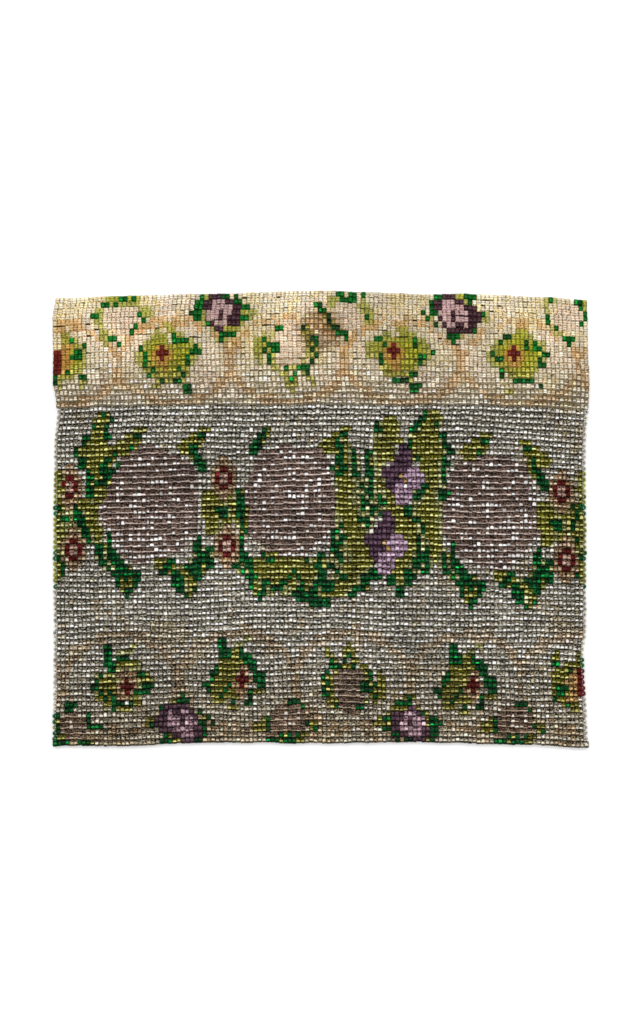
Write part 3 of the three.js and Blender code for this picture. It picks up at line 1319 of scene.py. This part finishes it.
def mix_colours(nodes, blend, factor, first, second):
    node = nodes.new("ShaderNodeMix")
    node.data_type = "RGBA"
    node.blend_type = blend
    for place, given in zip(MIX_INPUTS, (factor, first, second)):
        feed(node.inputs[place], given)
    return node.outputs[MIX_OUTPUT]


def object_coords(nodes):
    return nodes.new("ShaderNodeTexCoord").outputs["Object"]


def noise_of(nodes, scale, detail):
    noise = nodes.new("ShaderNodeTexNoise")
    set_inputs(noise, {"Scale": scale, "Detail": detail})
    link(object_coords(nodes), noise.inputs["Vector"])
    return noise.outputs["Fac"]


def raise_relief(nodes, shader, height, distance, strength):
    bump = nodes.new("ShaderNodeBump")
    set_inputs(bump, {"Distance": distance, "Strength": strength})
    link(height, bump.inputs["Height"])
    link(bump.outputs[0], shader.inputs["Normal"])


def bead_paint_group():
    """The look of one glass bead: a painted highlight, the gleam, along its outward side, painted shade
    towards the next rows and at its ends, and painted light on its flanks, in uneven glass. Where light
    comes through, its thread's painted shadow shows, and on some beads a short painted shadow between the
    rows."""
    tree = bpy.data.node_groups.new("bead_paint", "ShaderNodeTree")
    inputs = {
        "Flank": "Color",
        "Gleam": "Color",
        "Shape": "Vector",
        "Map": "Vector",
        "Side shade": "Float",
        "End shade": "Float",
        "Shade": "Color",
        "Side light": "Float",
        "Mottle": "Float",
        "Thread shadow": "Float",
    }
    add_sockets(tree, "INPUT", inputs)
    add_sockets(tree, "OUTPUT", {"Color": "Color", "Roughness": "Float"})
    nodes = tree.nodes
    given = nodes.new("NodeGroupInput").outputs
    end = nodes.new("NodeGroupOutput")
    times = partial(math_node, nodes, "MULTIPLY")
    minus = partial(math_node, nodes, "SUBTRACT")
    absolute = partial(math_node, nodes, "ABSOLUTE")
    mix = partial(mix_colours, nodes, "MIX")
    multiply = partial(mix_colours, nodes, "MULTIPLY")
    place = nodes.new("ShaderNodeSeparateXYZ")
    link(given["Map"], place.inputs[0])
    round_it, along_it, _ = place.outputs
    shape = nodes.new("ShaderNodeSeparateXYZ")
    link(given["Shape"], shape.inputs[0])
    tall, long, shadow_dash = shape.outputs
    grain = noise_of(nodes, GRAIN_SCALE, GRAIN_DETAIL)
    ripple = fade(nodes, grain, FADES["ripple"])
    speck = fade(nodes, noise_of(nodes, BLOT_SCALE, BLOT_DETAIL), FADES["speck"])

    # Quarter turns from the top, to either side.
    quarters = minus(times(round_it, 4.0), 2.0)
    off_top = math_node(nodes, "PINGPONG", absolute(quarters), 1.0)
    down = times(math_node(nodes, "SIGN", quarters), off_top)
    off_middle = times(absolute(minus(along_it, 0.5)), 2.0)

    # The painted highlight, the gleam, narrows from its foot to its top.
    rise = math_node(nodes, "DIVIDE", minus(GLEAM_FOOT, down), tall)
    left = math_node(nodes, "MAXIMUM", minus(1.0, rise), 0.0)
    narrowing = times(math_node(nodes, "POWER", left, GLEAM_NARROWING), long)
    beside = minus(math_node(nodes, "ADD", off_middle, ripple), narrowing)
    within = fade(nodes, beside, FADES["gleam side"])
    above_foot = fade(nodes, down, FADES["gleam foot"])
    gleam = times(times(within, above_foot), fade(nodes, rise, FADES["gleam top"]))

    mottled = multiply(given["Mottle"], given["Flank"], fade(nodes, grain, FADES["mottle"]))
    # Painted light: the flank grows lighter towards the bead's sides, making up for the shade there.
    side_light = fade(nodes, off_top, (SIDE_LIGHT_FROM, 1.0, 1.0, given["Side light"]))
    mottled = multiply(1.0, mottled, side_light)
    # Painted shade below the gleam and towards the next row, broken up by specks.
    painted_side_shade = times(fade(nodes, down, FADES["under gleam"]), fade(nodes, down, FADES["next row"]))
    painted_side_shade = times(times(painted_side_shade, given["Side shade"]), speck)
    colour = mix(gleam, mix(painted_side_shade, mottled, given["Shade"]), given["Gleam"])
    # Painted shade at the bead's ends, which draws the dark lines between the columns.
    ends = times(times(fade(nodes, off_middle, FADES["ends"]), given["End shade"]), speck)
    colour = mix(ends, colour, given["Shade"])
    # The thread's painted shadow along the middle of the bead, where light comes through.
    off_thread_shadow = absolute(minus(down, THREAD_SHADOW_DOWN))
    colour = multiply(times(fade(nodes, off_thread_shadow, FADES["thread_shadow"]), given["Thread shadow"]), colour, THREAD_SHADOW_TINT)
    # A short painted shadow towards the next row on some beads.
    colour = mix(times(fade(nodes, down, FADES["shadow_dash"]), shadow_dash), colour, POUCH_SHADE)
    link(colour, end.inputs["Color"])
    link(fade(nodes, grain, FADES["glass roughness"]), end.inputs["Roughness"])
    return tree


def thread_paint_group():
    """Threads laid side by side along Y, uneven in colour."""
    tree = bpy.data.node_groups.new("thread_paint", "ShaderNodeTree")
    add_sockets(tree, "INPUT", {"Dark": "Color", "Pale": "Color"})
    add_sockets(tree, "OUTPUT", {"Color": "Color", "Height": "Float"})
    nodes = tree.nodes
    given = nodes.new("NodeGroupInput").outputs
    end = nodes.new("NodeGroupOutput")
    wave = nodes.new("ShaderNodeTexWave")
    set_inputs(wave, {"Scale": THREAD_WAVES, "Distortion": THREAD_WANDER})
    link(object_coords(nodes), wave.inputs["Vector"])
    waves = wave.outputs["Fac"]
    strands = mix_colours(nodes, "MIX", waves, given["Dark"], given["Pale"])
    tone = fade(nodes, noise_of(nodes, THREAD_TONE_SCALE, THREAD_TONE_DETAIL), FADES["thread tone"])
    link(mix_colours(nodes, "MULTIPLY", 1.0, strands, tone), end.inputs["Color"])
    link(waves, end.inputs["Height"])
    return tree


def new_material(name):
    material = bpy.data.materials.new(name)
    material.use_nodes = True
    nodes = material.node_tree.nodes
    nodes.clear()
    shader = nodes.new("ShaderNodeBsdfPrincipled")
    output = nodes.new("ShaderNodeOutputMaterial")
    link(shader.outputs[0], output.inputs[0])
    return material, nodes, shader


def bead_glass(name, paint, shade, side_light, mottle, thread_shadow, gloss):
    """Bead glass in the colours that each bead carries."""
    material, nodes, shader = new_material(name)
    group = nodes.new("ShaderNodeGroup")
    group.node_tree = paint
    set_inputs(group, {"Shade": shade, "Side light": side_light, "Mottle": mottle, "Thread shadow": thread_shadow})
    carried = (
        # attribute, its outputs and the inputs that they go to
        ("flank", (("Color", "Flank"), ("Alpha", "Side shade"))),
        ("gleam", (("Color", "Gleam"), ("Alpha", "End shade"))),
        ("shape", (("Vector", "Shape"),)),
        ("bead_map", (("Vector", "Map"),)),
    )
    for field, wires in carried:
        attribute = nodes.new("ShaderNodeAttribute")
        attribute.attribute_name = field
        for output, socket in wires:
            link(attribute.outputs[output], group.inputs[socket])
    link(group.outputs["Color"], shader.inputs["Base Color"])
    link(group.outputs["Roughness"], shader.inputs["Roughness"])
    set_inputs(shader, {"Specular IOR Level": gloss})
    return material


def thread_material(name, paint, dark, pale):
    material, nodes, shader = new_material(name)
    group = nodes.new("ShaderNodeGroup")
    group.node_tree = paint
    set_inputs(group, {"Dark": (*linear(dark), 1.0), "Pale": (*linear(pale), 1.0)})
    link(group.outputs["Color"], shader.inputs["Base Color"])
    raise_relief(nodes, shader, group.outputs["Height"], THREAD_RELIEF, THREAD_RELIEF_STRENGTH)
    set_inputs(shader, {"Roughness": THREAD_ROUGHNESS, "Specular IOR Level": THREAD_GLOSS})
    return material


def snap_metal():
    """Dull antique brass, worn bright in patches."""
    material, nodes, shader = new_material("antique_brass")
    wear = noise_of(nodes, BRASS_WEAR_SCALE, BRASS_WEAR_DETAIL)
    worn = fade(nodes, wear, FADES["worn brass"])
    brass = mix_colours(nodes, "MIX", worn, (*linear(DULL_BRASS), 1.0), (*linear(BRIGHT_BRASS), 1.0))
    link(brass, shader.inputs["Base Color"])
    link(fade(nodes, worn, FADES["brass roughness"]), shader.inputs["Roughness"])
    raise_relief(nodes, shader, wear, BRASS_RELIEF, BRASS_RELIEF_STRENGTH)
    set_inputs(shader, {"Metallic": 1.0})
    return material


# The threads and beads.
chart = clutch_chart()
all_rows, all_places = (a.ravel() for a in np.indices(chart.shape))
row_wave = soft_noise(all_places, all_rows, ROW_WAVE_CELLS)
row_wave += ROW_RIPPLE * soft_noise(all_places, all_rows, ROW_RIPPLE_CELLS)
row_wave = row_wave.reshape(chart.shape)
column_wave = soft_noise(all_places, all_rows, COLUMN_WAVE_CELLS).reshape(chart.shape)
pouch_look = glass_of(chart, POUCH_GLASS)
# The flap's beads in the colours of the painted light that comes through them.
backlit_flap_look = glass_of(chart, BACKLIT_FLAP_GLASS)
clear = ~np.isin(chart, list(DEEP_GLASSES))
backlit_flap_look[0] = bleed_light(backlit_flap_look[0], clear)
backlit_flap_look[1] = bleed_light(backlit_flap_look[1], clear)
bead_paint = bead_paint_group()
pouch_glass, backlit_flap_glass, edge_glass = (
    bead_glass(name, bead_paint, *look) for name, look in GLASSES.items()
)
thread_paint = thread_paint_group()
pouch_thread = thread_material("pouch_thread", thread_paint, *POUCH_THREAD)
backlit_flap_thread = thread_material("backlit_flap_thread", thread_paint, *BACKLIT_FLAP_THREAD)

ring_half = EDGE_BEAD_FILL * EDGE_HEIGHT / EDGE_BEADS / 2
round_bead = bead_mesh("round_bead", ROUND_SIDES, ROUND_PROFILE, BEAD_LENGTH / 2, False)
plain_bead = bead_mesh("plain_bead", PLAIN_SIDES, PLAIN_PROFILE, BEAD_LENGTH / 2, False)
ring_bead = bead_mesh("ring_bead", RING_SIDES, RING_PROFILE, ring_half, True)
tree = string_beads_tree()

panel_columns = np.arange(1, COLUMNS - 1)
all_columns = np.arange(COLUMNS)


def fold_middle(x, along):
    return np.full_like(x, EDGE_HEIGHT - WALL / 2)


def fold_under(x, along):
    return np.full_like(x, WALL / 2)


def woven(name, rows, columns, middle, outward, light, bead, glass):
    return string_beads(name, tree, bead, glass, lay_rows(rows, columns, middle, outward, light))


thirds = np.array_split(np.arange(1, PANEL_ROWS), 3)
halves = np.array_split(np.arange(1, PANEL_ROWS), 2)
back_beads = [
    woven(f"back_beads_{name}", rows, panel_columns, back_middle, 1, no_light, round_bead, pouch_glass)
    for name, rows in zip(("lower", "middle", "upper"), thirds)
]
front_beads = [
    woven(f"front_beads_{name}", rows, panel_columns, front_middle, -1, no_light, plain_bead, pouch_glass)
    for name, rows in zip(("lower", "upper"), halves)
]
flap_rows = np.arange(PANEL_ROWS, ROWS)
flap_beads = woven(
    "flap_beads", flap_rows, all_columns, flap_middle, 1, light_through_flap, round_bead, backlit_flap_glass
)
fold_row = np.arange(1)
fold_beads = [
    woven("fold_beads_back", fold_row, all_columns, fold_middle, 1, no_light, round_bead, pouch_glass),
    woven("fold_beads_front", fold_row, all_columns, fold_under, -1, no_light, round_bead, pouch_glass),
]
left_beads = string_beads("left_seam_beads", tree, ring_bead, edge_glass, edge_beads(-1))
right_beads = string_beads("right_seam_beads", tree, ring_bead, edge_glass, edge_beads(1))
for pattern in (round_bead, plain_bead, ring_bead):
    bpy.data.objects.remove(pattern)

margin = EDGE_DEPTH + GAP
back_threads = thread_sheet("back_threads", margin, PANEL_LENGTH, margin, back_middle, pouch_thread)
front_threads = thread_sheet("front_threads", margin, PANEL_LENGTH, margin, front_middle, pouch_thread)
flap_end = PANEL_LENGTH + FLAP_LENGTH - GAP
flap_threads = thread_sheet("flap_threads", PANEL_LENGTH + GAP, flap_end, GAP, flap_middle, backlit_flap_thread)

# What each piece rides on and stands for.
stands_for = (
    (back_beads + [back_threads], "back_panel", "pouch_beadwork"),
    (front_beads + [front_threads], "front_panel", "pouch_beadwork"),
    ([flap_beads, flap_threads], "flap", "flap_beadwork"),
    (fold_beads, "bottom_fold", "pouch_beadwork"),
    ([left_beads], "left_seam", "edging_beads"),
    ([right_beads], "right_seam", "edging_beads"),
)
for pieces, node, slot in stands_for:
    for piece in pieces:
        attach(piece, "root")
        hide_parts(node)

brass = snap_metal()
for node in ("snap_stud", "snap_socket"):
    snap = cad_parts[node]
    snap.data.materials.clear()
    snap.data.materials.append(brass)

# The floor, the light and the camera, straight above the clutch.
floor_mesh = bpy.data.meshes.new("floor")
corners = [(FLOOR_HALF * x, FLOOR_HALF * y, 0) for x, y in ((-1, -1), (1, -1), (1, 1), (-1, 1))]
floor_mesh.from_pydata(corners, [], [(0, 1, 2, 3)])
floor_material, _, floor_shader = new_material("floor_paper")
set_inputs(floor_shader, FLOOR_PAPER)
floor_mesh.materials.append(floor_material)
add_object("floor", floor_mesh)

world = bpy.data.worlds.new("studio")
world.use_nodes = True
set_inputs(world.node_tree.nodes["Background"], {"Color": WHITE, "Strength": WORLD_LIGHT})
bpy.context.scene.world = world

softbox = bpy.data.lights.new("softbox", "AREA")
softbox.shape = "RECTANGLE"
softbox.size = SOFTBOX_WIDTH
softbox.size_y = SOFTBOX_DEPTH
softbox.energy = SOFTBOX_POWER
softbox_object = add_object("softbox", softbox)
softbox_object.location = SOFTBOX_PLACE
softbox_object.rotation_euler = (SOFTBOX_TILT, 0.0, 0.0)

camera = bpy.data.cameras.new("camera")
camera.lens = CAMERA_LENS
camera.sensor_width = CAMERA_SENSOR
camera_object = add_object("camera", camera)
camera_object.location = CAMERA_PLACE
bpy.context.scene.camera = camera_object
bpy.context.scene.view_settings.view_transform = "Standard"
